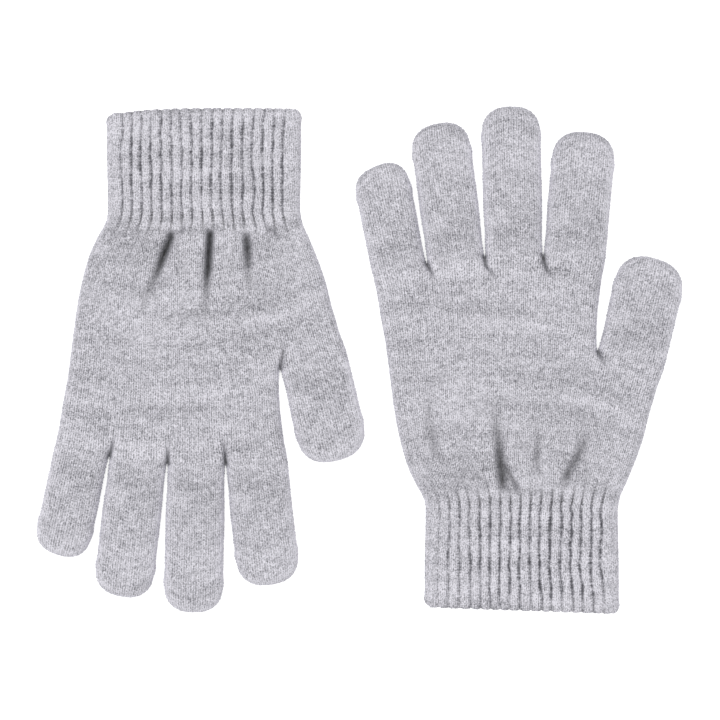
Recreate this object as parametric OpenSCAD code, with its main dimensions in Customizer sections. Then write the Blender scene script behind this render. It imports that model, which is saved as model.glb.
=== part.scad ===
// A pair of fine-knit gloves laid flat on a table, palms up, fingers pointing opposite ways.
// Each glove is a set of knitted tubes: five digits, an upper and a lower hand section, and
// a ribbed cuff with its welt, its elastic threads and the threads that close its forks.
// Millimetres, +Z up off the table, origin on the table under the middle of the pair.
// A glove is drawn in a frame of its own: wrist line on X, fingers towards +Y, thumb at +X.

/* [Cloth] */
// Thickness of the knitted cloth
wall_t = 1.8; // [1.2:0.1:2.2]
// Height of the hand and the cuff as they lie, both layers and the air between them
hand_h = 9.6; // [9:0.1:14]
// Height of a finger or the thumb as it lies, no more than the hand
digit_h = 9.0; // [8.6:0.1:9]
// Depth of the knit that closes the hand around each fork
fork_depth = 3.0; // [2:0.5:5]
// Room between a digit and each of its neighbours at the fork, both sides together
fork_gap = 0.3; // [0.2:0.1:0.8]

/* [Hand] */
// Width at the wrist line, where the hand and the cuff meet
wrist_w = 82.4; // [68:0.2:100]
// How far the little-finger side swells out just above the wrist
heel_swell = 10.5; // [4:0.5:14]
// How far the thumb side swells out just above the wrist
ball_swell = 7.4; // [4:0.2:12]
// How far the hand draws in below the little finger's root and the thumb's
root_tuck = 5.5; // [2:0.5:8]
// Wrist line to the fork between hand and thumb
thumb_fork_y = 67.3; // [54:0.1:82]
// Wrist line to the fork between the ring and middle fingers
finger_fork_y = 107.8; // [98:0.1:130]
// Place of that fork beside the glove's centre line
finger_fork_x = -15.9; // [-20:0.1:-12]
// How much further out the hand reaches at the index finger than at the thumb fork
thumb_side_flare = 3.2; // [0:0.1:5]

/* [Digits] */
// Width of the little finger
little_w = 23.4; // [19:0.1:28.2]
// Length of the little finger from its root to its tip
little_l = 45.6; // [36:0.1:56]
// Lean of the little finger, towards the thumb where positive
little_lean = -12.5; // [-16:0.5:-9]
// Width of the ring finger
ring_w = 24.8; // [20:0.1:30]
// Length of the ring finger from its root to its tip
ring_l = 59.6; // [48:0.1:72]
// Lean of the ring finger
ring_lean = -7; // [-9:0.5:-4]
// Width of the middle finger
middle_w = 24.8; // [20:0.1:30]
// Length of the middle finger from its root to its tip
middle_l = 64.4; // [52:0.1:78]
// Lean of the middle finger
middle_lean = -1.5; // [-4:0.5:2]
// Width of the index finger
index_w = 26.4; // [21:0.1:32]
// Length of the index finger from its root to its tip
index_l = 53.8; // [44:0.1:65]
// Lean of the index finger
index_lean = 5.2; // [3:0.1:8]
// Width of the thumb
thumb_w = 29.2; // [23:0.1:35]
// Length of the thumb from its root to its tip
thumb_l = 44.9; // [36:0.1:54]
// Lean of the thumb
thumb_lean = 14.2; // [11:0.1:20]

/* [Cuff] */
// Length of the ribbed cuff, without its welt
cuff_l = 40.4; // [30:0.1:60]
// Length of the welt at the mouth
welt_l = 3.0; // [2:0.1:5]
// Ribs across one face of the cuff
rib_count = 19; // [14:1:24]
// Depth of the groove between two ribs
rib_depth = 0.6; // [0.2:0.1:0.8]
// Width of that groove
groove_w = 1.4; // [0.8:0.1:2]
// Thickness of the elastic thread laid in the cuff
elastic_d = 0.5; // [0.3:0.1:0.6]
// Rounds of elastic thread in the cuff
elastic_count = 8; // [4:1:12]
// Thickness of the thread that closes a fork
stitch_d = 1.2; // [0.8:0.1:1.6]

/* [Pair] */
// Wrist to wrist across the pair
pair_x = 136.8; // [110:0.1:170]
// Wrist to wrist along the pair
pair_y = 127.2; // [100:0.1:160]

/* [Hidden] */
$fn = 64;
HAND_COLOR = "#bdbdc3";
DIGIT_COLOR = "#c2c2c8";
CUFF_COLOR = "#b3b3ba";
THREAD_COLOR = "#dcdcdf";

// Unit steps along and across a digit that leans
function along(lean) = [sin(lean), cos(lean)];
function across(lean) = [cos(lean), -sin(lean)];

// Roots run from fork to fork, each square to its digit
ring_middle_fork = [finger_fork_x, finger_fork_y];
middle_index_fork = ring_middle_fork + (middle_w + fork_gap) * across(middle_lean);
index_corner = middle_index_fork + (index_w + fork_gap) * across(index_lean);
little_ring_fork = ring_middle_fork - (ring_w + fork_gap) * across(ring_lean);
little_corner = little_ring_fork - (little_w + fork_gap) * across(little_lean);
thumb_fork = [index_corner.x - thumb_side_flare, thumb_fork_y];
thumb_corner = thumb_fork + (thumb_w + fork_gap) * across(thumb_lean);

// The two long sides of the hand, as smooth curves from the wrist to the outer roots.
// A rise is the height of a swell or a tuck, as a share of the side's whole height.
EDGE_STEPS = 8;
HEEL_RISE = 0.24;
LITTLE_TUCK_RISE = 0.55;
BALL_RISE = 0.30;
THUMB_TUCK_RISE = 0.63;
function bezier(a, b, c, d, t) =
    pow(1 - t, 3) * a + 3 * t * pow(1 - t, 2) * b + 3 * t * t * (1 - t) * c + pow(t, 3) * d;
function curve(a, b, c, d) = [for (i = [0:EDGE_STEPS]) bezier(a, b, c, d, i / EDGE_STEPS)];
little_side = curve(
    [-wrist_w / 2, 0],
    [-wrist_w / 2 - heel_swell, HEEL_RISE * little_corner.y],
    [little_corner.x + root_tuck, LITTLE_TUCK_RISE * little_corner.y],
    little_corner
);
thumb_side = curve(
    [wrist_w / 2, 0],
    [wrist_w / 2 + ball_swell, BALL_RISE * thumb_corner.y],
    [thumb_corner.x - root_tuck, THUMB_TUCK_RISE * thumb_corner.y],
    thumb_corner
);
index_side = [thumb_fork, index_corner];

// A side with each end carried straight on, past the cuts that end the hand there
RUN_ON = 12;
function unit(v) = v / norm(v);
function run_on(side) =
    let (last = len(side) - 1)
    [
        for (i = [0:last])
            i == 0 ? side[0] - RUN_ON * unit(side[1] - side[0])
            : i == last ? side[last] + RUN_ON * unit(side[last] - side[last - 1])
            : side[i]
    ];

// Where the pair's middle falls, so that its box is centred on the origin
function tip_centre(corner, lean, w, l) =
    corner + (w + fork_gap) / 2 * across(lean) + (l - w / 2) * along(lean);
little_tip = tip_centre(little_corner, little_lean, little_w, little_l);
index_tip = tip_centre(middle_index_fork, index_lean, index_w, index_l);
thumb_tip = tip_centre(thumb_fork, thumb_lean, thumb_w, thumb_l);
low_x = min(little_tip.x - little_w / 2, little_corner.x, -wrist_w / 2);
high_x = max(thumb_tip.x + thumb_w / 2, index_tip.x + index_w / 2, thumb_corner.x, wrist_w / 2);
centre_x = (low_x + high_x) / 2;

// Past every side of a glove, the thickness of a layer in a rounded slab, how far a hollow
// runs past a face that it opens, how far apart faces are kept that would share a plane,
// the angle between the layers, and the threads' facets
REACH = 120;
SLIVER = 0.02;
OVERCUT = 1;
EASE = 0.04;
ROUND_STEP = 22.5;
THREAD_FN = 24;

module right_glove() translate([pair_x / 2 - centre_x, -pair_y / 2, 0]) children();
module left_glove()
    translate([-pair_x / 2 - centre_x, pair_y / 2, 0]) mirror([0, 1, 0]) children();

// A flat tube's section: straight top and bottom, half-round sides, standing on y = inset
module flat_round(w, h, inset = 0) {
    r = h / 2 - inset;
    translate([0, h / 2])
        union() {
            square([w - h, 2 * r], center = true);
            for (side = [-1, 1]) translate([side * (w - h) / 2, 0]) circle(r);
        }
}

// A slab between two sides, with the same half-round edges as the tubes
module round_edged(near, far, h, inset = 0) {
    r = h / 2 - inset;
    hull()
        for (a = [-90:ROUND_STEP:90]) {
            pull = inset + r * (1 - cos(a));
            translate([0, 0, inset + (2 * r - SLIVER) * (1 + sin(a)) / 2])
                linear_extrude(SLIVER)
                    polygon(concat(
                        [for (p = near) p + [pull, 0]],
                        [for (i = [len(far) - 1:-1:0]) far[i] - [pull, 0]]
                    ));
        }
}

// A digit's shape, or its hollow where it is inset, with its root on the X axis
module digit_form(w, l, inset = 0, start = 0) {
    straight = l - w / 2;
    translate([0, start, 0])
        rotate([90, 0, 0])
            mirror([0, 0, 1])
                linear_extrude(straight - start)
                    flat_round(w, digit_h, inset);
    translate([0, straight, 0])
        rotate_extrude()
            intersection() {
                flat_round(w, digit_h, inset);
                square([w, digit_h]);
            }
}

// Puts a digit's own frame on its root in the glove
module at_root(corner, w, lean) {
    middle = corner + (w + fork_gap) / 2 * across(lean);
    translate([middle.x, middle.y, 0]) rotate([0, 0, -lean]) children();
}

module digit(corner, w, l, lean)
    color(DIGIT_COLOR)
        at_root(corner, w, lean)
            translate([0, EASE, 0])
                difference() {
                    digit_form(w, l);
                    digit_form(w, l, wall_t, -OVERCUT);
                }

// The way from the hand's hollow into a digit
module root_way(corner, w, lean)
    at_root(corner, w, lean)
        translate([0, OVERCUT, 0])
            rotate([90, 0, 0])
                linear_extrude(fork_depth + 2 * OVERCUT)
                    flat_round(w, digit_h, wall_t);

module little_finger() digit(little_corner, little_w, little_l, little_lean);
module ring_finger() digit(little_ring_fork, ring_w, ring_l, ring_lean);
module middle_finger() digit(ring_middle_fork, middle_w, middle_l, middle_lean);
module index_finger() digit(middle_index_fork, index_w, index_l, index_lean);
module thumb() digit(thumb_fork, thumb_w, thumb_l, thumb_lean);

// Hand above the thumb fork, ending square to each finger at its root
module upper_plan()
    polygon([
        [-REACH, thumb_fork_y],
        little_ring_fork - REACH * across(little_lean),
        little_ring_fork,
        ring_middle_fork,
        middle_index_fork,
        middle_index_fork + REACH * across(index_lean),
        [REACH, thumb_fork_y]
    ]);

module upper_hand()
    color(HAND_COLOR)
        difference() {
            intersection() {
                round_edged(run_on(little_side), run_on(index_side), hand_h);
                linear_extrude(hand_h) upper_plan();
            }
            intersection() {
                round_edged(run_on(little_side), run_on(index_side), hand_h, wall_t - EASE);
                translate([0, -fork_depth, 0]) linear_extrude(hand_h) upper_plan();
            }
            root_way(little_corner, little_w, little_lean);
            root_way(little_ring_fork, ring_w, ring_lean);
            root_way(ring_middle_fork, middle_w, middle_lean);
            root_way(middle_index_fork, index_w, index_lean);
        }

// Hand from the wrist line up to the thumb fork, with the thumb's root on its far corner
module lower_plan()
    polygon([
        [-REACH, 0],
        [-REACH, thumb_fork_y],
        thumb_fork,
        thumb_fork + REACH * across(thumb_lean),
        [REACH, 0]
    ]);

module lower_hollow_plan() {
    inner_fork = thumb_fork - [wall_t, 0];
    thumb_stop = thumb_fork - fork_depth * along(thumb_lean);
    polygon([
        [-REACH, -OVERCUT],
        [-REACH, thumb_fork_y + OVERCUT],
        inner_fork + [0, OVERCUT],
        [inner_fork.x, thumb_stop.y],
        thumb_stop,
        thumb_stop + REACH * across(thumb_lean),
        [REACH, -OVERCUT]
    ]);
}

module lower_hand()
    color(HAND_COLOR)
        difference() {
            intersection() {
                round_edged(run_on(little_side), run_on(thumb_side), hand_h);
                linear_extrude(hand_h) lower_plan();
            }
            intersection() {
                round_edged(run_on(little_side), run_on(thumb_side), hand_h, wall_t - EASE);
                linear_extrude(hand_h) lower_hollow_plan();
            }
            root_way(thumb_fork, thumb_w, thumb_lean);
        }

// A thread in the depth of each fork, from one layer of cloth to the other
module fork_stitches()
    color(THREAD_COLOR)
        for (fork = [little_ring_fork, ring_middle_fork, middle_index_fork, thumb_fork])
            translate([fork.x, fork.y - fork_depth / 2, wall_t / 2])
                cylinder(d = stitch_d, h = hand_h - wall_t);

// The cuff's section: the flat tube with grooves on both faces
module rib_section() {
    pitch = wrist_w / rib_count;
    difference() {
        flat_round(wrist_w, hand_h);
        for (i = [1:rib_count - 1], face = [0, 1])
            translate([i * pitch - wrist_w / 2, face * hand_h])
                mirror([0, face])
                    polygon([[-groove_w / 2, 0], [0, rib_depth], [groove_w / 2, 0], [0, -rib_depth]]);
    }
}

module cuff()
    color(CUFF_COLOR)
        rotate([90, 0, 0])
            linear_extrude(cuff_l)
                difference() {
                    rib_section();
                    flat_round(wrist_w, hand_h, wall_t);
                }

module cuff_welt()
    color(CUFF_COLOR)
        translate([0, -cuff_l, 0])
            rotate([90, 0, 0])
                linear_extrude(welt_l)
                    difference() {
                        flat_round(wrist_w, hand_h);
                        flat_round(wrist_w, hand_h, wall_t);
                    }

// One round of elastic, in the inner half of the cuff's wall
module elastic_round() {
    r = hand_h / 2 - wall_t + elastic_d;
    straight = wrist_w - hand_h;
    translate([0, 0, hand_h / 2]) {
        for (end = [-1, 1])
            translate([end * straight / 2, 0, 0])
                rotate([90, end * 90, 0])
                    rotate_extrude(angle = 180)
                        translate([r, 0]) circle(d = elastic_d, $fn = THREAD_FN);
        for (face = [-1, 1])
            translate([-straight / 2, 0, face * r])
                rotate([0, 90, 0])
                    cylinder(d = elastic_d, h = straight, $fn = THREAD_FN);
    }
}

module cuff_elastic()
    color(THREAD_COLOR)
        for (i = [1:elastic_count])
            translate([0, -i * cuff_l / (elastic_count + 1), 0]) elastic_round();

right_glove() lower_hand();  // right_lower_hand
right_glove() upper_hand();  // right_upper_hand
right_glove() fork_stitches();  // right_fork_stitches
right_glove() thumb();  // right_thumb
right_glove() index_finger();  // right_index_finger
right_glove() middle_finger();  // right_middle_finger
right_glove() ring_finger();  // right_ring_finger
right_glove() little_finger();  // right_little_finger
right_glove() cuff();  // right_cuff
right_glove() cuff_welt();  // right_cuff_welt
right_glove() cuff_elastic();  // right_cuff_elastic
left_glove() lower_hand();  // left_lower_hand
left_glove() upper_hand();  // left_upper_hand
left_glove() fork_stitches();  // left_fork_stitches
left_glove() thumb();  // left_thumb
left_glove() index_finger();  // left_index_finger
left_glove() middle_finger();  // left_middle_finger
left_glove() ring_finger();  // left_ring_finger
left_glove() little_finger();  // left_little_finger
left_glove() cuff();  // left_cuff
left_glove() cuff_welt();  // left_cuff_welt
left_glove() cuff_elastic();  // left_cuff_elastic
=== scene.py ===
import logging
import math
from collections.abc import Callable
from dataclasses import dataclass, field
from enum import Enum

import bmesh
import bpy
import numpy as np
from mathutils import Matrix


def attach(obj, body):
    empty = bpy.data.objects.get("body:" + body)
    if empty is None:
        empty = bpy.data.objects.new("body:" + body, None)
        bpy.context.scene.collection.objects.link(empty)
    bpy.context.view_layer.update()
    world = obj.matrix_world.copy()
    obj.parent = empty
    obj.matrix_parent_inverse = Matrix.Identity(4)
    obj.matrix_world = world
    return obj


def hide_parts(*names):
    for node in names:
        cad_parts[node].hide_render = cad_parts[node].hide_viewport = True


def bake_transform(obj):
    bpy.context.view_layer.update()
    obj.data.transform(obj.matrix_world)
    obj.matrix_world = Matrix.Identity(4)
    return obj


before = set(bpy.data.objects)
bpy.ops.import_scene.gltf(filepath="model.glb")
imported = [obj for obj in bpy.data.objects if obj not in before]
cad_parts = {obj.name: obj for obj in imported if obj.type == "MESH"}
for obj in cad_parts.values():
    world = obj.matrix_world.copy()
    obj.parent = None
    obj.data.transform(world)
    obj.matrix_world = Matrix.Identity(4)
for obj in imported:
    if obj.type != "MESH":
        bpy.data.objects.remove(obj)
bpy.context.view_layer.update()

LOG = logging.getLogger("gloves")
MM = 0.001
KNIT_MAP = "knit"
# mesh attribute of painted shade above 0 and painted highlight below 0, read by the knit finishes
PAINTED_LIGHT = "depth"
BAND = "band"
TOP = 9.6  # height of the CAD hand, where every hinge lies, in mm

Array = np.ndarray
Point = tuple[float, float]
Line = tuple[Point, ...]
Edge = Callable[[Array | float], Array]


class Hand(Enum):
    """Which hand a glove is for, and the start of its pieces' names."""

    RIGHT = "right"
    LEFT = "left"


class Face(Enum):
    """The layer of a glove that faces up, and the one that lies on the table."""

    PALM = 1
    BACK = -1


# ---------------------------------------------------------------- numbers and noise


def linear(hex_colour: str) -> tuple[float, float, float, float]:
    """Turns an sRGB hex colour into the linear colour that shaders take.

    Args:
        hex_colour: Six hex digits after a #.

    Returns:
        Red, green, blue and an alpha of one.
    """
    parts = [int(hex_colour[i : i + 2], 16) / 255 for i in (1, 3, 5)]
    made = [c / 12.92 if c <= 0.04045 else ((c + 0.055) / 1.055) ** 2.4 for c in parts]
    return made[0], made[1], made[2], 1.0


def ease(low: float, high: float, x: Array) -> Array:
    """Rises smoothly from 0 at low to 1 at high."""
    t = np.clip((x - low) / (high - low), 0, 1)
    return t * t * (3 - 2 * t)


def through(heights: tuple[float, ...], sides: tuple[float, ...], y: Array) -> Array:
    """Follows a smooth curve through measured places of an outline.

    Args:
        heights: Rising Y values.
        sides: The outline's X at each of them.
        y: Where the curve is wanted.

    Returns:
        The outline's X at each y.
    """
    ys, xs = np.array(heights), np.array(sides)
    slopes = np.gradient(xs, ys)
    i = np.clip(np.searchsorted(ys, y) - 1, 0, len(ys) - 2)
    span = ys[i + 1] - ys[i]
    t = (y - ys[i]) / span
    inside = (
        (2 * t**3 - 3 * t**2 + 1) * xs[i]
        + (t**3 - 2 * t**2 + t) * span * slopes[i]
        + (3 * t**2 - 2 * t**3) * xs[i + 1]
        + (t**3 - t**2) * span * slopes[i + 1]
    )
    below = xs[0] + (y - ys[0]) * slopes[0]
    above = xs[-1] + (y - ys[-1]) * slopes[-1]
    return np.where(y < ys[0], below, np.where(y > ys[-1], above, inside))


class Drift:
    """A smooth, seeded unevenness over a plane, from -1 to 1."""

    LATTICE = 128

    def __init__(self, seed: int, span_x: float, span_y: float) -> None:
        """Keeps the spans between two unlike places, in the plane's own units."""
        self.values = np.random.RandomState(seed).uniform(-1, 1, (self.LATTICE,) * 2)
        self.span_x, self.span_y = span_x, span_y

    def at(self, x: Array, y: Array) -> Array:
        """Gives the unevenness at each place."""
        gx, gy = np.asarray(x) / self.span_x + 60.5, np.asarray(y) / self.span_y + 60.5
        i, j = np.floor(gx).astype(int), np.floor(gy).astype(int)
        s, t = gx - i, gy - j
        s, t = s * s * (3 - 2 * s), t * t * (3 - 2 * t)
        n = self.LATTICE
        v = self.values
        low = v[i % n, j % n] * (1 - s) + v[(i + 1) % n, j % n] * s
        high = v[i % n, (j + 1) % n] * (1 - s) + v[(i + 1) % n, (j + 1) % n] * s
        return low * (1 - t) + high * t


# ---------------------------------------------------------------- cloth


@dataclass(frozen=True)
class Crease:
    """A valley pressed along a line of the cloth, or a ridge where its depth is negative.

    The depths are in millimetres, one for each point of the line.
    """

    line: Line
    depths: tuple[float, ...]
    width: float
    reach: float = 4.0  # how far to each side the wales are drawn in
    full: float = 5.0  # the depth that draws them in by the whole pull
    pull: float = 0.75  # how much of the reach that is

    def sink(self, x: Array, y: Array) -> Array:
        """Gives how far the cloth goes down at each place of the plan."""
        best = np.full(np.shape(x), np.inf)
        found = np.zeros(np.shape(x))
        for i in range(len(self.line) - 1):
            (ax, ay), (bx, by) = self.line[i], self.line[i + 1]
            dx, dy = bx - ax, by - ay
            t = np.clip(((x - ax) * dx + (y - ay) * dy) / (dx * dx + dy * dy), 0, 1)
            far = np.hypot(x - ax - t * dx, y - ay - t * dy)
            deep = self.depths[i] * (1 - t) + self.depths[i + 1] * t
            found = np.where(far < best, deep, found)
            best = np.minimum(best, far)
        return found * np.exp(-((best / self.width) ** 2))

    def gather(self, x: Array, y: Array) -> Array:
        """Gives how far the wales beside a pleat are drawn sideways into it."""
        order = np.argsort([p[1] for p in self.line])
        ys, xs = (np.array([self.line[i][k] for i in order]) for k in (1, 0))
        depths = np.array([self.depths[i] for i in order])
        off = (x - np.interp(y, ys, xs)) / self.reach
        share = np.interp(y, ys, depths, left=0, right=0) / self.full * ease(0, 6, y)
        return -self.reach * self.pull * share * off * np.exp(-(off**2))


@dataclass(frozen=True)
class Stitch:
    """The relief of plain knitting: two slanting legs in each wale, one V to a course."""

    height: float = 0.36
    slant: float = 0.75
    uneven: float = 0.3
    blunt: float = 0.6  # a leg's section is a half wave to this power
    beads: float = 0.45  # how much of the height comes and goes with each course
    seed: int = 5

    def lift(self, wale: Array, course: Array) -> Array:
        """Gives how far the yarn stands proud, in millimetres.

        Args:
            wale: How many wales from the piece's left edge.
            course: How many courses from its start.

        Returns:
            The height over the ground of the cloth.
        """
        from_middle = np.abs(2 * (wale - np.floor(wale)) - 1)
        phase = course - self.slant * from_middle
        leg = np.sin(np.pi * np.clip(from_middle, 0, 1)) ** self.blunt
        bead = 0.5 + 0.5 * np.cos(2 * np.pi * phase)
        chance = np.random.RandomState(self.seed).uniform(-1, 1, (256, 256))
        own = chance[
            np.floor(2 * wale).astype(int) % 256, np.floor(phase + 0.5).astype(int) % 256
        ]
        return self.height * (1 + self.uneven * own) * leg * (1 - self.beads + self.beads * bead)


@dataclass
class Patch:
    """A rectangular run of cloth: places in mm and knit counts, rows by columns."""

    points: Array
    knit: Array
    # painted shade above 0 and painted highlight below 0, at each place
    depth: Array
    turned: bool = False
    band: Array | None = None  # where the yarn's bands lie, by course; the course itself if None


def outward(points: Array, face: Face) -> Array:
    """Gives the unit normals of a run of cloth, pointing out of the glove."""
    normals = np.cross(np.gradient(points, axis=1), np.gradient(points, axis=0))
    normals /= np.linalg.norm(normals, axis=2, keepdims=True) + 1e-12
    return normals * face.value


def painted_edge_light(inside: Array, amount: Array | float, reach: float) -> Array:
    """Gives the painted highlight along an outline, as a depth below 0, or painted shade where the
    amount is below 0.
    """
    return -amount * (1 - ease(0, reach, inside))


def knitted(
    points: Array, knit: Array, depth: Array, face: Face, fade: Array | float = 1.0
) -> Patch:
    """Raises the stitches on the smooth ground of a run of cloth."""
    lift = Stitch().lift(knit[..., 0], knit[..., 1]) * fade
    raised = points + outward(points, face) * lift[..., None]
    return Patch(raised, knit, depth, turned=face is Face.BACK)


def put(name: str, data: bpy.types.ID) -> bpy.types.Object:
    """Puts a mesh, curve, lamp or camera into the scene as an object."""
    made = bpy.data.objects.new(name, data)
    bpy.context.scene.collection.objects.link(made)
    return made


def make_cloth(
    name: str, patches: list[Patch], lie: "Lie", material: bpy.types.Material
) -> bpy.types.Object:
    """Makes one piece of cloth from its patches, whose shared edges become one.

    Args:
        name: The piece's name.
        patches: Its runs of cloth, in the glove's own frame.
        lie: How its glove lies.
        material: The piece's finish.

    Returns:
        The piece.
    """
    work = bmesh.new()
    points, knit, depth, band = [], [], [], []
    for patch in patches:
        rows, columns = patch.points.shape[:2]
        bmesh.ops.create_grid(work, x_segments=columns - 1, y_segments=rows - 1, size=0.5)
        step = -1 if patch.turned != lie.mirrored else 1
        points.append(lie.place(patch.points[:, ::step].reshape(-1, 3)))
        knit.append(patch.knit[:, ::step].reshape(-1, 2))
        depth.append(np.broadcast_to(patch.depth, (rows, columns))[:, ::step].ravel())
        own = patch.knit[..., 1] if patch.band is None else patch.band
        band.append(own[:, ::step].ravel())
    mesh = bpy.data.meshes.new(name)
    work.to_mesh(mesh)
    work.free()
    mesh.vertices.foreach_set("co", np.concatenate(points).astype(np.float32).ravel())
    corner = np.zeros(len(mesh.loops), np.int32)
    mesh.loops.foreach_get("vertex_index", corner)
    layer = mesh.uv_layers.new(name=KNIT_MAP)
    layer.data.foreach_set("uv", np.concatenate(knit)[corner].astype(np.float32).ravel())
    for key, values in ((PAINTED_LIGHT, depth), (BAND, band)):
        kept = mesh.attributes.new(key, "FLOAT", "POINT")
        kept.data.foreach_set("value", np.concatenate(values).astype(np.float32))
    work = bmesh.new()
    work.from_mesh(mesh)
    bmesh.ops.remove_doubles(work, verts=work.verts, dist=0.004 * MM)
    work.to_mesh(mesh)
    work.free()
    mesh.polygons.foreach_set("use_smooth", np.ones(len(mesh.polygons), bool))
    mesh.materials.append(material)
    mesh.update()
    return put(name, mesh)


def report(piece: bpy.types.Object) -> None:
    """Logs a piece's cloth area in square metres and how low and high it reaches, in mm."""
    areas = np.zeros(len(piece.data.polygons))
    piece.data.polygons.foreach_get("area", areas)
    places = np.zeros(3 * len(piece.data.vertices))
    piece.data.vertices.foreach_get("co", places)
    z = places[2::3] / MM
    LOG.info("%s: area %.4f, z %.2f to %.2f", piece.name, areas.sum(), z.min(), z.max())


def settle(
    piece: bpy.types.Object, nodes: tuple[str, ...]
) -> None:
    """Hides the CAD parts that a finished piece stands for, and logs it.

    Args:
        piece: The piece.
        nodes: The CAD nodes that it stands for.
    """
    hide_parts(*nodes)
    report(piece)


# ---------------------------------------------------------------- finishes


def add_node(
    tree: bpy.types.NodeTree,
    kind: str,
    settings: dict[str, object] | None = None,
    links: dict[int | str, object] | None = None,
) -> bpy.types.Node:
    """Adds a node with its settings, its inputs' values and its links.

    Args:
        tree: The node tree.
        kind: The node's type, without its prefix where that is ShaderNode.
        settings: The node's own properties.
        links: A value or another node's output for each named or numbered input.

    Returns:
        The node.
    """
    made = tree.nodes.new(kind if kind.startswith("ShaderNode") else "ShaderNode" + kind)
    for key, value in (settings or {}).items():
        setattr(made, key, value)
    for key, value in (links or {}).items():
        if isinstance(value, bpy.types.NodeSocket):
            tree.links.new(value, made.inputs[key])
        else:
            made.inputs[key].default_value = value
    return made


class Shader:
    """A material under construction, with short ways to do sums on its sockets."""

    def __init__(self, name: str) -> None:
        """Starts a material with an empty node tree."""
        self.material = bpy.data.materials.new(name)
        self.material.use_nodes = True
        self.tree = self.material.node_tree
        self.tree.nodes.clear()

    def node(self, kind: str, settings: dict | None = None, links: dict | None = None):
        """Adds a node to this material."""
        return add_node(self.tree, kind, settings, links)

    def sum(self, operation: str, *values: object) -> bpy.types.NodeSocket:
        """Does one sum and gives its result."""
        return self.node("Math", {"operation": operation}, dict(enumerate(values))).outputs[0]

    def finish(self, surface: bpy.types.NodeSocket) -> bpy.types.Material:
        """Joins a surface to the output and gives the material."""
        self.node("OutputMaterial", None, {"Surface": surface})
        return self.material


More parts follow.
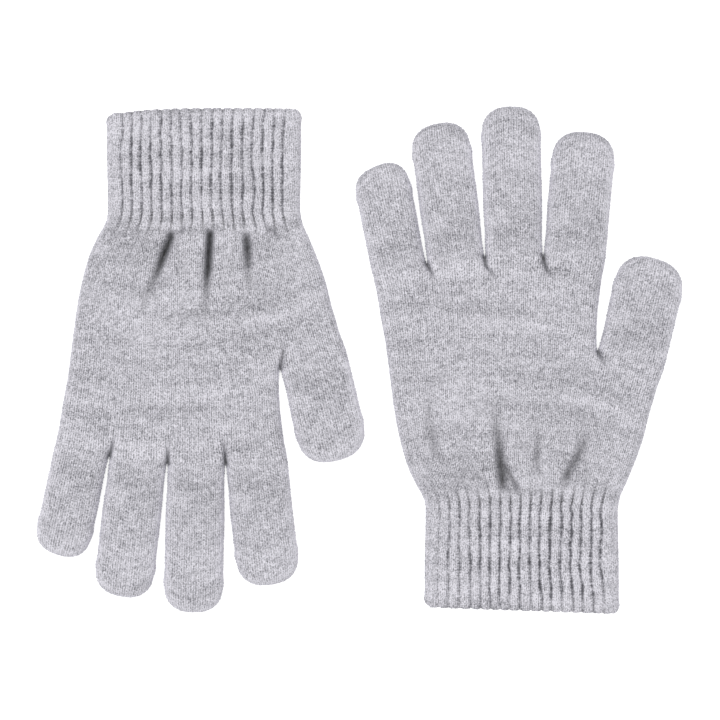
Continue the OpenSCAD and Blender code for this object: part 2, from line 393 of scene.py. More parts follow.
@dataclass(frozen=True)
class HeatherKnit:
    """Heather acrylic and wool yarn, machine knitted in plain stitch.

    The eye sees fine upright lines of V stitches, pale and dark fibres mixed in each strand,
    and soft darker bands along the courses where the spun yarn changes.
    """

    name: str = "heather_plain_knit"
    pale: str = "#F0EEF6"
    dark: str = "#6D6D73"
    shade: str = "#3A3A37"
    roughness: float = 0.92
    fuzz: float = 0.65  # the loose fibres that catch the light where the cloth turns away
    fuzz_tint: str = "#F4F4FF"
    level: float = 0.655  # where between dark and pale the yarn is on the whole
    valley: float = 0.29  # painted shade: how much darker the valley between two legs is painted, and the legs paler
    bands: float = 0.25  # from here on, how much each unevenness adds or takes
    strands: float = 0.34
    legs: float = 0.20
    fibres: float = 0.22
    speckles: float = 0.70
    # painted shade in the open gaps between legs
    gap_shade: float = 0.78
    hollow: float = 0.75  # how much of a pleat's or a groove's depth is seen as shade
    proud: float = 0.5  # painted light: how much darker the colour is painted per unit of depth, and how much paler where depth is below 0, as on a rib's crown

    def build(self) -> bpy.types.Material:
        """Makes the material, reading the knit counts from the piece's own UV map and its painted
        shade and painted highlight from the depth attribute.
        """
        s = Shader(self.name)
        counts = s.node("UVMap", {"uv_map": KNIT_MAP}).outputs[0]
        wale, course = s.node("SeparateXYZ", None, {0: counts}).outputs[:2]
        spun, sunk = (
            s.node("Attribute", {"attribute_name": key}).outputs["Fac"] for key in (BAND, PAINTED_LIGHT)
        )
        middle = s.sum("ABSOLUTE", s.sum("MULTIPLY_ADD", s.sum("FRACT", wale), 2.0, -1.0))
        phase = s.sum("MULTIPLY_ADD", middle, -Stitch.slant, course)
        ridge = s.sum("POWER", s.sum("SINE", s.sum("MULTIPLY", middle, math.pi)), Stitch.blunt)
        bead = s.sum("COSINE", s.sum("MULTIPLY", phase, 2 * math.pi))
        height = s.sum("MULTIPLY", ridge, s.sum("MULTIPLY_ADD", bead, 0.22, 0.78))
        row = s.sum("FLOOR", s.sum("ADD", phase, 0.5))
        gap_row = s.sum("FLOOR", s.sum("MULTIPLY", course, 2.3))
        leg, strand, wide, gap = (
            s.node("CombineXYZ", None, dict(enumerate(axes))).outputs[0]
            for axes in (
                # every leg of a stitch is its own place of the yarn, a little paler or darker
                (s.sum("FLOOR", s.sum("MULTIPLY", wale, 2.0)), row),
                # one strand runs along each course, so its colour drifts along it and not across
                (s.sum("MULTIPLY", wale, 0.45), s.sum("MULTIPLY", row, 7.31)),
                # the spun yarn itself changes over several courses
                (s.sum("MULTIPLY", wale, 0.035), s.sum("MULTIPLY", spun, 0.2)),
                # the gap between two legs is open in some stitches and closed in others, and the
                # open ones get painted shade
                (s.sum("FLOOR", s.sum("MULTIPLY_ADD", wale, 2.0, 0.5)), gap_row),
            )
        )
        own, open_gap = (
            s.node("TexWhiteNoise", {"noise_dimensions": "2D"}, {0: cell}).outputs["Value"]
            for cell in (leg, gap)
        )
        place = s.node("TexCoord").outputs["Object"]
        streak, band, fibre, speckle = (
            s.node(
                "TexNoise",
                {"noise_dimensions": axes},
                {"Vector": at, "Scale": scale, "Detail": detail, "Roughness": rough},
            ).outputs["Fac"]
            for axes, at, scale, detail, rough in (
                ("2D", strand, 1.0, 2.0, 0.6),
                ("2D", wide, 1.0, 2.5, 0.55),
                # fibres are about 0.02 mm thick, drawn ten times as coarse so that they show
                ("3D", place, 3200.0, 2.0, 0.6),
                # dark and pale fibres come in short tufts, which the eye sees as a grain
                ("3D", place, 1700.0, 1.0, 0.5),
            )
        )
        # painted shade in the open gaps between legs
        hole = s.sum("MULTIPLY", s.sum("SUBTRACT", 1.0, ridge), s.sum("POWER", open_gap, 1.6))
        # painted shade in the valleys between legs and painted highlight on the legs, from the
        # stitch's height
        tone = s.sum("MULTIPLY_ADD", s.sum("SUBTRACT", height, 0.6), self.valley, self.level)
        for noise, share in (
            (own, self.legs),
            (streak, self.strands * 1.6),
            (band, self.bands * 2.2),
            (fibre, self.fibres * 1.6),
            (speckle, self.speckles * 2.4),
        ):
            tone = s.sum("MULTIPLY_ADD", s.sum("SUBTRACT", noise, 0.5), share, tone)
        tone = s.sum("MULTIPLY_ADD", hole, -self.gap_shade, tone)
        # painted shade in pleats, grooves and the cuff's mouth, and painted highlight on rib
        # crowns, puffs and outlines
        tone = s.sum("MULTIPLY_ADD", sunk, -self.proud, tone)
        # the flecks show through the shade in a hollow, so it isn't an even grey
        broken = s.sum("MULTIPLY_ADD", own, 0.8, -0.1)
        broken = s.sum("MULTIPLY_ADD", speckle, 1.4, broken)
        shaded = s.sum("MULTIPLY", s.sum("MULTIPLY", sunk, self.hollow), broken)
        colour = linear(self.dark)
        for share, over in ((tone, self.pale), (shaded, self.shade)):
            held = s.sum("MINIMUM", s.sum("MAXIMUM", share, 0.0), 1.0)
            mix = s.node("Mix", {"data_type": "RGBA"}, {0: held, 6: colour, 7: linear(over)})
            colour = mix.outputs[2]
        bump = s.node(
            "Bump",
            None,
            {"Strength": 0.5, "Distance": 0.00012, "Height": fibre},
        )
        shader = s.node(
            "BsdfPrincipled",
            None,
            {
                "Base Color": colour,
                "Roughness": self.roughness,
                "Specular IOR Level": 0.25,
                "Sheen Weight": self.fuzz,
                "Sheen Roughness": 0.5,
                "Sheen Tint": linear(self.fuzz_tint),
                "Normal": bump.outputs[0],
            },
        )
        return s.finish(shader.outputs[0])


@dataclass(frozen=True)
class SpunThread:
    """A thin thread of spun polyester or covered rubber: a matt pale strand."""

    name: str = "spun_thread"
    pale: str = "#D8D7DC"
    dark: str = "#A9A8AF"
    twist: float = 900.0  # turns over a metre, drawn coarse enough to show

    def build(self) -> bpy.types.Material:
        """Makes the material with a fine twist in Object coordinates."""
        s = Shader(self.name)
        place = s.node("TexCoord").outputs["Object"]
        ply = s.node(
            "TexWave",
            {"wave_type": "BANDS", "bands_direction": "DIAGONAL"},
            {"Vector": place, "Scale": self.twist, "Distortion": 1.5},
        )
        colour = s.node(
            "Mix",
            {"data_type": "RGBA"},
            {0: ply.outputs["Fac"], 6: linear(self.dark), 7: linear(self.pale)},
        )
        bump = s.node(
            "Bump",
            None,
            {"Strength": 0.4, "Distance": 0.0001, "Height": ply.outputs["Fac"]},
        )
        shader = s.node(
            "BsdfPrincipled",
            None,
            {"Base Color": colour.outputs[2], "Roughness": 0.8, "Normal": bump.outputs[0]},
        )
        return s.finish(shader.outputs[0])


# ---------------------------------------------------------------- the glove's plan


@dataclass(frozen=True)
class DigitSize:
    """A digit of the CAD part, in millimetres and degrees."""

    name: str
    width: float
    length: float
    lean: float
    wales: int

    @property
    def across(self) -> Array:
        """A unit step along the digit's root, towards the thumb."""
        a = math.radians(self.lean)
        return np.array([math.cos(a), -math.sin(a)])

    @property
    def along(self) -> Array:
        """A unit step from the digit's root towards its tip."""
        a = math.radians(self.lean)
        return np.array([math.sin(a), math.cos(a)])


LITTLE = DigitSize("little_finger", 23.4, 45.6, -12.5, 14)
RING = DigitSize("ring_finger", 24.8, 59.6, -7.0, 15)
MIDDLE = DigitSize("middle_finger", 24.8, 64.4, -1.5, 15)
INDEX = DigitSize("index_finger", 26.4, 53.8, 5.2, 16)
THUMB = DigitSize("thumb", 29.2, 44.9, 14.2, 17)
DIGITS = (LITTLE, RING, MIDDLE, INDEX, THUMB)


@dataclass(frozen=True)
class GlovePlan:
    """The glove's outline from above, in its own frame, with the CAD part's sizes.

    The wrist line is on X, fingers point to +Y, and the thumb is at +X.
    """

    wrist_w: float = 82.4
    fork_gap: float = 0.3
    finger_fork: Point = (-15.9, 107.8)
    thumb_fork_y: float = 67.3
    thumb_side_flare: float = 3.2
    pair_x: float = 136.8
    pair_y: float = 127.2
    little_heights: tuple[float, ...] = (
        0, 3.4, 6.9, 10.3, 13.8, 27.5, 41.3, 55, 68.8, 82.6, 96.3, 99.6,
    )  # fmt: skip
    little_sides: tuple[float, ...] = (
        -41.2, -41.8, -43.4, -45.4, -47.2, -51.8, -54.6, -56.4, -58.2, -60.6, -63.1, -63.9,
    )  # fmt: skip
    thumb_heights: tuple[float, ...] = (0, 3.4, 6.9, 10.3, 13.8, 27.5, 41.3, 52, 60.1)
    thumb_sides: tuple[float, ...] = (41.2, 41.8, 43.0, 44.6, 46.1, 51.3, 55.0, 58.2, 61.2)
    index_heights: tuple[float, ...] = (67.3, 72, 79, 86, 93, 100, 106.0)
    index_sides: tuple[float, ...] = (32.6, 32.1, 32.1, 32.6, 33.4, 34.5, 35.8)

    def chord(self, size: DigitSize) -> float:
        """Gives the length of a digit's root, from fork to fork."""
        return size.width + self.fork_gap

    @property
    def forks(self) -> dict[str, Array]:
        """The start of each digit's root, and the corners at the ends of the row."""
        ring_middle = np.array(self.finger_fork)
        middle_index = ring_middle + self.chord(MIDDLE) * MIDDLE.across
        index_corner = middle_index + self.chord(INDEX) * INDEX.across
        little_ring = ring_middle - self.chord(RING) * RING.across
        little_corner = little_ring - self.chord(LITTLE) * LITTLE.across
        thumb = np.array([index_corner[0] - self.thumb_side_flare, self.thumb_fork_y])
        return {
            "little_corner": little_corner,
            "little_ring": little_ring,
            "ring_middle": ring_middle,
            "middle_index": middle_index,
            "index_corner": index_corner,
            "thumb": thumb,
            "thumb_corner": thumb + self.chord(THUMB) * THUMB.across,
        }

    def root(self, size: DigitSize) -> Array:
        """Gives the middle of a digit's root."""
        start = {
            LITTLE.name: "little_corner",
            RING.name: "little_ring",
            MIDDLE.name: "ring_middle",
            INDEX.name: "middle_index",
            THUMB.name: "thumb",
        }[size.name]
        return self.forks[start] + self.chord(size) / 2 * size.across

    @property
    def middle_x(self) -> float:
        """Where the pair's middle falls, as in the CAD part."""

        def tip(size: DigitSize) -> float:
            return float((self.root(size) + (size.length - size.width / 2) * size.along)[0])

        low = min(
            tip(LITTLE) - LITTLE.width / 2, self.forks["little_corner"][0], -self.wrist_w / 2
        )
        high = max(
            tip(THUMB) + THUMB.width / 2,
            tip(INDEX) + INDEX.width / 2,
            self.forks["thumb_corner"][0],
        )
        return float(low + high) / 2

    def placed(self, points: Array, hand: Hand) -> Array:
        """Puts points of the glove's frame, in mm, into the row frame, in metres."""
        made = np.array(points, float)
        if hand is Hand.RIGHT:
            made[..., 0] += self.pair_x / 2 - self.middle_x
            made[..., 1] -= self.pair_y / 2
        else:
            made[..., 0] -= self.pair_x / 2 + self.middle_x
            made[..., 1] = self.pair_y / 2 - made[..., 1]
        return made * MM


PLAN = GlovePlan()


@dataclass
class Lie:
    """How one glove of the pair lies in the photograph: its creases, tips and cuff's end."""

    hand: Hand
    seed: int
    tips: dict[str, Point]
    creases: tuple[Crease, ...]
    cuff_end: tuple[float, ...]  # how far the mouth is from the wrist, evenly across it
    rib_keep: tuple[float, ...]  # how deep the grooves are at RIB_PLACES, 1 being their own depth
    slants: dict[str, float]  # how much a tip slants towards the thumb's side
    painted_side_light: dict[str, float]  # painted highlight: how much paler the sides of these digits are painted, unlike the rest
    painted_tip_light: float  # painted highlight on its tips, or painted shade where this is below 0
    lip_shade: float  # how far from the mouth the painted shade reaches, where the cuff's first, tighter courses turn down

    @property
    def mirrored(self) -> bool:
        """Whether the glove is the CAD glove's mirror image, so that faces turn round."""
        return self.hand is Hand.LEFT

    def place(self, points: Array) -> Array:
        """Puts the glove's points, in mm, into the row frame, in metres."""
        return PLAN.placed(points, self.hand)

    def hinge(self, x: float, y: float) -> tuple[float, ...]:
        """Gives a place at the height of the hinges, in the row frame."""
        return tuple(self.place(np.array([x, y, TOP])))


@dataclass
class Loft:
    """How high the two layers of a glove stand over the table."""

    lie: Lie
    edge_z: float = 3.2
    over: float = 4.35
    under: float = 2.71
    round_w: float = 4.2
    sag: float = 0.25  # from here on, how much the cloth's unevenness lifts it, in mm
    slow_rise: float = 0.38
    quick_rise: float = 0.16

    def __post_init__(self) -> None:
        """Seeds the glove's own unevenness."""
        self.slow = Drift(self.lie.seed, 22, 30)
        self.quick = Drift(self.lie.seed + 1, 7, 9)

    def dome(self, inside: Array) -> Array:
        """Gives the rounding of an edge from the distance inside the outline."""
        short = 1 - np.clip(inside / self.round_w, 0, 1)
        return np.sqrt(np.clip(1 - short**2, 0, 1))

    def height(
        self, x: Array, y: Array, inside: Array, face: Face, swell: Array | float = 0.0
    ) -> Array:
        """Gives the ground of the cloth over the table, without its stitches.

        Args:
            x: Places across the glove, in its own frame.
            y: Places along it.
            inside: Their distance from the outline.
            face: Which layer.
            swell: What a digit's own roundness adds.

        Returns:
            The height in millimetres.
        """
        if face is Face.BACK:
            return self.edge_z - self.dome(inside) * (
                self.under - self.sag * (1 + self.slow.at(x, y))
            )
        stand = self.over + self.slow_rise * self.slow.at(x, y)
        stand = stand + self.quick_rise * self.quick.at(x, y) + swell
        for crease in self.lie.creases:
            stand = stand - crease.sink(x, y)
        return self.edge_z + self.dome(inside) * stand


RESOLVE_WALE = 5  # places in the mesh across a wale
RESOLVE_COURSE = 4  # places up a course
COURSE_H = 1.35  # height of a course, in mm
BUMP = 0.13  # how far each stitch stands out along an outline, in mm
BUMP_W = 2.5  # how far in from the outline that is felt, in mm
FULL_SHADE = 3.4  # depth of a pleat, in mm, from which it is all in shade
SAMPLES = 421  # places at which a row is measured before its wales are spaced


def coons(
    q: Array, v: float, left: Edge, right: Edge, low: Edge, high: Edge
) -> Array:
    """Fills a four-sided plan smoothly from its four edges.

    Args:
        q: Shares across, from the left edge to the right one.
        v: The share up, from the low edge to the high one.
        left: The left edge by v.
        right: The right edge by v.
        low: The low edge by q.
        high: The high edge by q.

    Returns:
        The plan's places, one for each q.
    """
    q1 = np.asarray(q)[:, None]
    ends = np.array([0.0, 1.0])
    (p00, p10), (p01, p11) = low(ends), high(ends)
    corners = (1 - q1) * (1 - v) * p00 + q1 * (1 - v) * p10
    corners = corners + (1 - q1) * v * p01 + q1 * v * p11
    sides = (1 - q1) * left(v) + q1 * right(v)
    return sides + (1 - v) * low(np.asarray(q)) + v * high(np.asarray(q)) - corners


def straight(a: Array, b: Array) -> Edge:
    """Gives the straight edge from a to b, by share."""
    return lambda t: a + (b - a) * np.atleast_1d(t)[:, None]


def bent(points: list[Array]) -> Edge:
    """Gives the edge that runs through several points, by share of its length."""
    line = np.array(points)
    steps = np.concatenate([[0], np.cumsum(np.linalg.norm(np.diff(line, axis=0), axis=1))])
    steps /= steps[-1]
    return lambda t: np.stack(
        [np.interp(np.atleast_1d(t), steps, line[:, k]) for k in (0, 1)], axis=1
    )


def spaced(points: Array, count: int) -> Array:
    """Finds evenly spaced places along a dense line of cloth.

    Args:
        points: The line, as places in space.
        count: How many places are wanted, both ends among them.

    Returns:
        Their shares of the line's samples.
    """
    steps = np.concatenate([[0], np.cumsum(np.linalg.norm(np.diff(points, axis=0), axis=1))])
    shares = np.linspace(0, 1, len(points))
    return np.interp(np.linspace(0, steps[-1], count), steps, shares)


@dataclass
class HandSection:
    """The knitted hand of one glove, as a palm and a back in two sections."""

    lie: Lie
    loft: Loft
    cuff: "Cuff"
    finger_wales: int = 50
    thumb_wales: int = 16
    lower_courses: int = 50
    upper_courses: int = 27
    rib_fade: float = 6.0  # how far the cuff's ribs run out into it
    painted_edge_light: float = 0.32  # painted highlight: how much paler its sides are painted
    painted_edge_w: float = 2.2  # how far in from the outline
    arch: float = 3.5  # how many courses the yarn's bands bend towards its sides
    wander: float = 0.28  # how far a wale strays from its line
    thumb_reach: float = 12.0  # how far above its fork the thumb's side still rules the wales

    def __post_init__(self) -> None:
        """Seeds the wobble of the wales."""
        self.wobble = Drift(self.lie.seed + 7, 5, 14)

    def little_side(self, y: Array) -> Array:
        """Gives the little finger side's X at each height."""
        return through(PLAN.little_heights, PLAN.little_sides, y)

    def far_side(self, y: Array, upper: bool) -> Array:
        """Gives the other side's X: the index finger's above the thumb, or the thumb's."""
        if upper:
            return through(PLAN.index_heights, PLAN.index_sides, y)
        return through(PLAN.thumb_heights, PLAN.thumb_sides, y)

    def inside(self, x: Array, y: Array, upper: bool, forks: bool = True) -> Array:
        """Gives the distance inside the outline, forks included where they are asked for."""
        far = np.minimum(x - self.little_side(y), self.far_side(y, upper) - x)
        names = ("little_ring", "ring_middle", "middle_index", "thumb") if upper else ("thumb",)
        if forks:
            for name in names:
                fx, fy = PLAN.forks[name]
                far = np.minimum(far, np.hypot(x - fx, y - fy))
        return np.clip(far, 0, None)

    def edge_point(self, side: Callable[[Array], Array], y: float) -> Array:
        """Gives a point of a side at a height."""
        return np.array([float(side(np.array(y))), float(y)])

    def block(
        self,
        plan: Callable[[Array, float], Array],
        wales: int,
        courses: int,
        face: Face,
        upper: bool = False,
        ball: bool = False,
    ) -> Array:
        """Lays the rows of one block of knitting, its wales evenly spaced on the cloth.

        Args:
            plan: The block's plan by share across and share up.
            wales: Wales across it.
            courses: Courses up it.
            face: Palm or back.
            upper: Whether it is above the thumb.
            ball: Whether it is the part below the thumb.

        Returns:
            The ground's points, rows by columns.
        """
        dense = np.linspace(0, 1, SAMPLES)
        rows = []
        for row in range(courses * RESOLVE_COURSE + 1):
            v = row / (courses * RESOLVE_COURSE)
            flat = plan(dense, v)
            x, y = flat[:, 0], flat[:, 1]
            left, right = x - self.little_side(y), self.far_side(y, upper) - x
            above = y.mean() - PLAN.thumb_fork_y
            past = float(ease(0, self.thumb_reach, above)) if upper else 0.0
            q = np.zeros(wales * RESOLVE_WALE + 1)
            side = right if ball else left
            for share, near in ((1 - past, side), (past, np.minimum(left, right))):
                z = self.loft.over * self.loft.dome(np.clip(near, 0, None))
                q = q + share * spaced(np.stack([x, y, z], axis=1), len(q))
            flat = plan(q, v)
            x, y = flat[:, 0], flat[:, 1]
            free = ease(0.2, 4, self.inside(x, y, upper)) * ease(0, 4, y)
            x = x + self.wander * self.wobble.at(x, y) * free
            pull = sum(crease.gather(x, y) for crease in self.lie.creases)
            x = x + pull * free * (face is Face.PALM)
            z = self.loft.height(x, y, self.inside(x, y, upper), face)
            left, right = x - self.little_side(y), self.far_side(y, upper) - x
            rim = (1 - ease(0, BUMP_W, right)) * (ball or upper)
            rim = rim - (1 - ease(0, BUMP_W, left)) * (not ball)
            x = x + BUMP * math.cos(2 * math.pi * row / RESOLVE_COURSE) * rim
            rows.append(np.stack([x, y, z], axis=1))
        return np.array(rows)

    def lower(self, face: Face) -> Patch:
        """Knits the hand from the wrist line up to the thumb's fork."""
        f = PLAN.forks
        wrist = [np.array([s * PLAN.wrist_w / 2, 0.0]) for s in (-1, 1)]
        share = self.finger_wales / (self.finger_wales + self.thumb_wales)
        foot = wrist[0] + (wrist[1] - wrist[0]) * share
        top_left = self.edge_point(self.little_side, PLAN.thumb_fork_y)
        middle = straight(foot, f["thumb"])

        def fingers(q: Array, v: float) -> Array:
            """Plans the part below the fingers."""
            return coons(
                q, v,
                lambda t: self.edge_point(self.little_side, t * PLAN.thumb_fork_y),
                lambda t: middle(t)[0],
                straight(wrist[0], foot),
                straight(top_left, f["thumb"]),
            )  # fmt: skip

        def thumb_side(y: Array) -> Array:
            """Follows the ball of the thumb."""
            return self.far_side(y, False)

        def ball(q: Array, v: float) -> Array:
            """Plans the part below the thumb."""
            return coons(
                q, v,
                lambda t: middle(t)[0],
                lambda t: self.edge_point(thumb_side, t * f["thumb_corner"][1]),
                straight(foot, wrist[1]),
                straight(f["thumb"], f["thumb_corner"]),
            )  # fmt: skip

        left = self.block(fingers, self.finger_wales, self.lower_courses, face)
        right = self.block(ball, self.thumb_wales, self.lower_courses, face, ball=True)
        points = np.concatenate([left, right[:, 1:]], axis=1)
        wale = np.arange(points.shape[1]) / RESOLVE_WALE
        course = np.arange(points.shape[0]) / RESOLVE_COURSE
        knit = np.stack(np.meshgrid(wale, course), axis=2)
        # painted shade in pleats and rib grooves, painted highlight on puffs, rib crowns and along
        # the outline
        fold = self.folds(points, face)
        near = self.inside(points[..., 0], points[..., 1], False, forks=False)
        groove = self.flute(points, face) + painted_edge_light(near, self.painted_edge_light, self.painted_edge_w)
        depth = np.where(fold > groove, fold + np.minimum(groove, 0), groove)
        made = knitted(points, knit, depth, face)
        made.band = self.arched(knit)
        return made

    def arched(self, knit: Array) -> Array:
        """Gives the bands' places: they bend in an arch across the hand."""
        off = knit[..., 0] / self.finger_wales * 2 - 1
        return knit[..., 1] + self.arch * off**2

    def folds(self, points: Array, face: Face) -> Array:
        """Gives the painted shade of each point from how deep in a pleat it lies, up to 1, or a
        painted highlight below 0 on a puff.
        """
        if face is Face.BACK:
            return np.zeros(points.shape[:2])
        sunk = sum(crease.sink(points[..., 0], points[..., 1]) for crease in self.lie.creases)
        return np.clip(sunk / FULL_SHADE, -0.3, 1)

    def flute(self, points: Array, face: Face) -> Array:
        """Lets the cuff's ribs run out into the hand, in place, and gives the painted shade of
        their grooves and painted highlight of their crowns.
        """
        ribs = self.cuff.rib_at(points[0, :, 0], face)
        reach = np.exp(-((np.clip(points[..., 1], 0, None) / self.rib_fade) ** 1.5))
        course = (np.arange(len(points)) / RESOLVE_COURSE)[:, None]
        groove = rib_groove(ribs[None, :], course) * self.cuff.shallow(points[0, :, 0], 0.0)
        points[..., 2] -= self.cuff.rib_depth * groove * reach * face.value
        return (groove * (1 + self.cuff.crown) - self.cuff.crown) * reach

    def upper(self, face: Face) -> Patch:
        """Knits the hand from the thumb's fork up to the fingers' roots."""
        f = PLAN.forks
        low_left = self.edge_point(self.little_side, PLAN.thumb_fork_y)
        low_y, left_y, right_y = PLAN.thumb_fork_y, f["little_corner"][1], f["index_corner"][1]
        names = ("little_corner", "little_ring", "ring_middle", "middle_index", "index_corner")
        roots = bent([f[name] for name in names])

        def index_side(y: Array) -> Array:
            """Follows the index finger's side."""
            return self.far_side(y, True)

        def plan(q: Array, v: float) -> Array:
            """Plans the part above the thumb."""
            return coons(
                q, v,
                lambda t: self.edge_point(self.little_side, low_y + t * (left_y - low_y)),
                lambda t: self.edge_point(index_side, low_y + t * (right_y - low_y)),
                straight(low_left, f["thumb"]),
                roots,
            )  # fmt: skip

        points = self.block(plan, self.finger_wales, self.upper_courses, face, upper=True)
        wale = np.arange(points.shape[1]) / RESOLVE_WALE
        course = np.arange(points.shape[0]) / RESOLVE_COURSE + self.lower_courses
        knit = np.stack(np.meshgrid(wale, course), axis=2)
        fade = root_fade(course[-1] - course)[:, None]
        near = self.inside(points[..., 0], points[..., 1], True, forks=False)
        # painted shade in pleats, painted highlight on puffs and along the outline
        depth = self.folds(points, face) + painted_edge_light(near, self.painted_edge_light, self.painted_edge_w)
        made = knitted(points, knit, depth, face, fade)
        made.band = self.arched(knit)
        return made

    def build(self, finish: bpy.types.Material) -> None:
        """Makes the hand's palm and back."""
        side = self.lie.hand.value
        for face, layer in ((Face.PALM, "palm"), (Face.BACK, "back")):
            lower, upper = self.lower(face), self.upper(face)
            upper.points[0] = lower.points[-1, : upper.points.shape[1]]
            piece = make_cloth(f"{side}_{layer}_knit", [lower, upper], self.lie, finish)
            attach(piece, f"{side}_hand")
            settle(piece, (f"{side}_lower_hand", f"{side}_upper_hand"))


def rib_groove(ribs: Array, course: Array | float = 0.0) -> Array:
    """Gives the depth of the groove beside each rib, from 0 on the rib to 1 in the groove.

    Args:
        ribs: How many ribs from the left edge.
        course: How many courses from the wrist, since each stitch narrows the groove.

    Returns:
        The depth's share.
    """
    inside = ribs - np.floor(ribs)
    width = 0.16 * (1 + 0.35 * np.cos(2 * np.pi * course))
    return np.exp(-(((inside - 0.84) / width) ** 2))


def root_fade(courses: Array) -> Array:
    """Gives how much of the stitches' height is left so many courses from a digit's root."""
    return 0.4 + 0.6 * ease(0, 2, courses)


FREE_SIDES = {"little_finger": -1, "index_finger": 1, "thumb": 1}  # with no finger beside them


@dataclass
class Digit:
    """One knitted digit: a flat tube from its root to a closed round tip."""

    size: DigitSize
    lie: Lie
    loft: Loft
    tuck: float = 1.5  # how far it starts inside the hand
    bend_l: float = 14.0  # how far along the digit its second hinge point is taken
    root_w: float = 0.13  # how much wider each half is at its root
    nub: float = 0.42  # and just before its tip
    side_turn: float = math.radians(30)  # how far round the tip the outer wales reach
    swell: float = 0.55
    slit: float = 0.48  # how much narrower to each side it is just past its root
    painted_edge_light: float = 0.46  # painted highlight: how much paler its sides are painted
    painted_edge_w: float = 4.2
    tip_power: float = 2.5  # 2 is a round tip, and more is a squarer one
    wander: float = 0.25  # how far a wale strays from its line
    bulge: float = 5.0  # how much a layer of the slit tube is wider than the flat digit
    tip_share: float = 0.3  # how much of its round tip's radius the flat length counts
    # A layer whose open edge is under a quarter of its flat outline is counted as two, and
    # theirs would be. report.md says what that leaves open.
    sheet_most: float = 50.0

    def __post_init__(self) -> None:
        """Finds the digit's line from its root to the middle of its round tip."""
        self.root = PLAN.root(self.size)
        self.tip = np.array(self.lie.tips[self.size.name])
        self.straight = float(np.linalg.norm(self.tip - self.root))
        self.bend = self.root + self.size.along * self.straight / 2
        self.radius = self.size.width / 2
        self.free_side = FREE_SIDES.get(self.size.name, 0)
        self.wobble = Drift(self.lie.seed + 11 + self.size.wales, 5, 14)

    def half_width(self, along: Array, across: Array) -> Array:
        """Gives half the digit's width at each distance from its root, to either side."""
        t = np.clip(along / self.straight, 0, 1)
        root = self.radius + self.root_w
        nub = self.nub * np.exp(-(((along - self.straight + 0.8) / 2.2) ** 2))
        slit = self.slit * ease(0.1, 2.0, along) * (1 - ease(8, 24, along))
        slit = slit * (self.free_side == 0 or np.sign(across) != self.free_side)
        return root * (1 - t) + self.radius * t + nub - slit

    def outer(self, across: Array | list[Array]) -> Array:
        """Tells which places are on a side that the light reaches freely."""
        return np.array(self.free_side == 0) | (np.sign(across) == self.free_side)

    def tip_shape(self, across: Array, along: Array) -> tuple[Array, Array]:
        """Makes the round tip a little squarer, and slants it, as the closed tubes' ends are."""
        ahead = np.clip(along - self.straight, 0, None) / self.radius
        aside = np.abs(across) / self.radius
        far = np.hypot(aside, ahead)
        square = (aside**self.tip_power + ahead**self.tip_power) ** (1 / self.tip_power)
        grow = 1 + (far / np.maximum(square, 1e-9) - 1) * far**2 * (ahead > 0)
        slant = self.lie.slants.get(self.size.name, 0.0) * across * ahead**2
        along = np.where(ahead > 0, self.straight + ahead * self.radius * grow, along)
        return across * grow, along + slant

    def bend_plan(self, across: Array, along: Array) -> Array:
        """Carries the straight digit's plan onto the digit's own line."""
        t = np.clip(along / self.straight, 0, 1)[..., None]
        spine = (1 - t) ** 2 * self.root + 2 * t * (1 - t) * self.bend + t**2 * self.tip
        way = 2 * (1 - t) * (self.bend - self.root) + 2 * t * (self.tip - self.bend)
        way = way / np.linalg.norm(way, axis=-1, keepdims=True)
        beyond = along - np.clip(along, 0, self.straight)
        right = np.stack([way[..., 1], -way[..., 0]], axis=-1)
        return spine + way * beyond[..., None] + right * across[..., None]

    def flat_plan(self, q: Array, v: float) -> tuple[Array, Array]:
        """Gives the straight digit's plan by share across and share of its length."""
        r, turn = self.radius, self.side_turn
        length = self.straight + r * turn

        def side(sign: float) -> Edge:
            """Gives the left or right edge."""

            def edge(t: float) -> Array:
                """Runs up the side and a little way round the tip."""
                run = t * length
                angle = max(run - self.straight, 0) / r
                y = min(run, self.straight) + r * math.sin(angle)
                return np.array([sign * r * math.cos(angle), y])

            return edge

        def rim(t: Array) -> Array:
            """Runs over the rest of the round tip."""
            angle = (np.atleast_1d(t) * 2 - 1) * (math.pi / 2 - turn)
            return np.stack([r * np.sin(angle), self.straight + r * np.cos(angle)], axis=1)

        root = straight(np.array([-r, 0.0]), np.array([r, 0.0]))
        made = coons(q, v, side(-1), side(1), root, rim)
        return made[:, 0], made[:, 1]

    def inside(self, across: Array, along: Array) -> Array:
        """Gives the distance inside the straight digit's outline."""
        body = self.radius - np.abs(across)
        cap = self.radius - np.hypot(across, along - self.straight)
        return np.clip(np.where(along > self.straight, cap, body), 0, None)

    def ground(self, across: Array, along: Array, face: Face, inside: Array) -> Array:
        """Gives the cloth's ground in the glove's frame."""
        across, along = self.tip_shape(across, along)
        wide = across * self.half_width(along, across) / self.radius
        wide = wide + BUMP * np.cos(2 * math.pi * along / COURSE_H) * np.sign(across) * (
            1 - ease(0, BUMP_W, inside)
        )
        flat = self.bend_plan(wide, along)
        full = self.swell * (1 - (across / self.radius) ** 2) * ease(0, 12, along)
        z = self.loft.height(flat[..., 0], flat[..., 1], inside, face, full)
        dip = 0.25 * np.clip(-along / self.tuck, 0, 1) * self.loft.dome(inside)
        return np.concatenate([flat, (z - dip * face.value)[..., None]], axis=-1)

    def rows(self) -> Array:
        """Spaces the courses evenly on the cloth, up the middle of the palm side."""
        v = np.linspace(0, 1, SAMPLES)
        middle = np.array([self.flat_plan(np.array([0.5]), float(t)) for t in v])[:, :, 0]
        across, along = middle[:, 0], middle[:, 1]
        line = self.ground(across, along, Face.PALM, self.inside(across, along))
        long = float(np.linalg.norm(np.diff(line, axis=0), axis=1).sum())
        count = round(long / COURSE_H) * RESOLVE_COURSE + 1
        return spaced(line, count)

